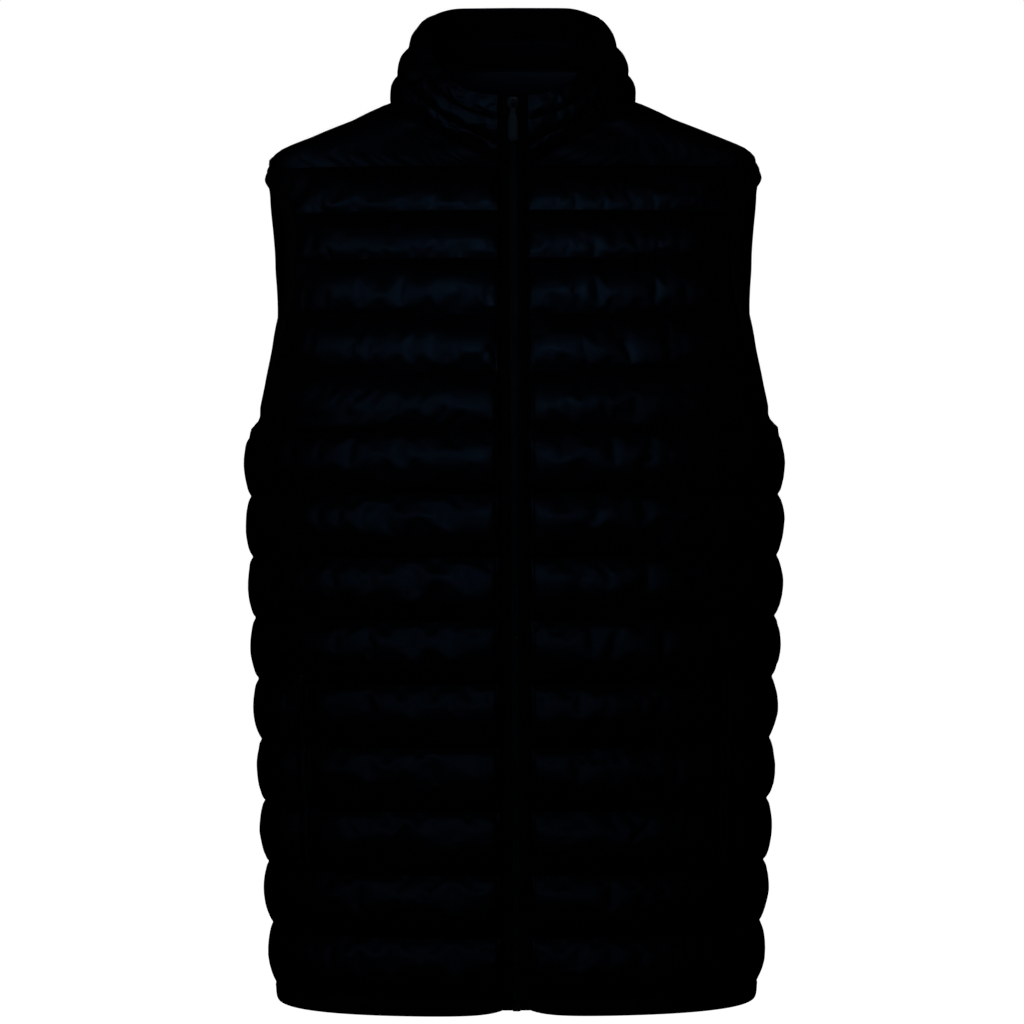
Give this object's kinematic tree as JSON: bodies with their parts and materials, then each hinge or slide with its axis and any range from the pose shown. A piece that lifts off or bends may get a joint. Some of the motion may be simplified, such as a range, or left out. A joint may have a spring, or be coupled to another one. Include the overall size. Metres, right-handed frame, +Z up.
{
  "type": "puffer vest",
  "caption": "Sleeveless quilted puffer vest with a stand collar, zipped up, standing open and hollow as it is worn.",
  "frame": {"origin": "the middle between the two points where the shoulder seams meet the neck, in the centre plane: where the wearer's shoulders carry the vest", "axes": "+Z up, the front faces -Y, the wearer's left side is +X"},
  "size_m": [0.399, 0.2839, 0.7397],
  "materials": {
    "nylon": "near-black woven nylon with a cool sheen",
    "zip_tape": "black woven polyester zip tape and coil",
    "black_metal": "black painted metal, satin"
  },
  "bodies": {
    "vest": {"front_left": "nylon", "front_right": "nylon", "back": "nylon", "collar": "nylon", "armhole_binding_left": "nylon", "armhole_binding_right": "nylon", "hem_binding": "nylon", "zip_tape_left": "zip_tape", "zip_tape_right": "zip_tape", "zip_chain": "zip_tape", "zip_box": "black_metal", "zip_slider": "black_metal", "pocket_zip_left": "zip_tape", "pocket_zip_right": "zip_tape", "pocket_slider_left": "black_metal", "pocket_slider_right": "black_metal"},
    "zip_pull": {"zip_pull": "black_metal"},
    "pocket_pull_left": {"pocket_pull_left": "black_metal"},
    "pocket_pull_right": {"pocket_pull_right": "black_metal"}
  },
  "joints": [
    {"name": "zip_pull_swing", "type": "hinge", "parent": "vest", "child": "zip_pull", "pos_m": [0, -0.04735, -0.0073], "axis": [-1, 0, 0], "range_deg": [0, 150]},
    {"name": "pocket_pull_left_swing", "type": "hinge", "parent": "vest", "child": "pocket_pull_left", "pos_m": [0.15545, -0.10464, -0.42774], "axis": [-0.7724, -0.6352, 0], "range_deg": [0, 150]},
    {"name": "pocket_pull_right_swing", "type": "hinge", "parent": "vest", "child": "pocket_pull_right", "pos_m": [-0.15545, -0.10464, -0.42774], "axis": [-0.7724, 0.6352, 0], "range_deg": [0, 150]}
  ]
}
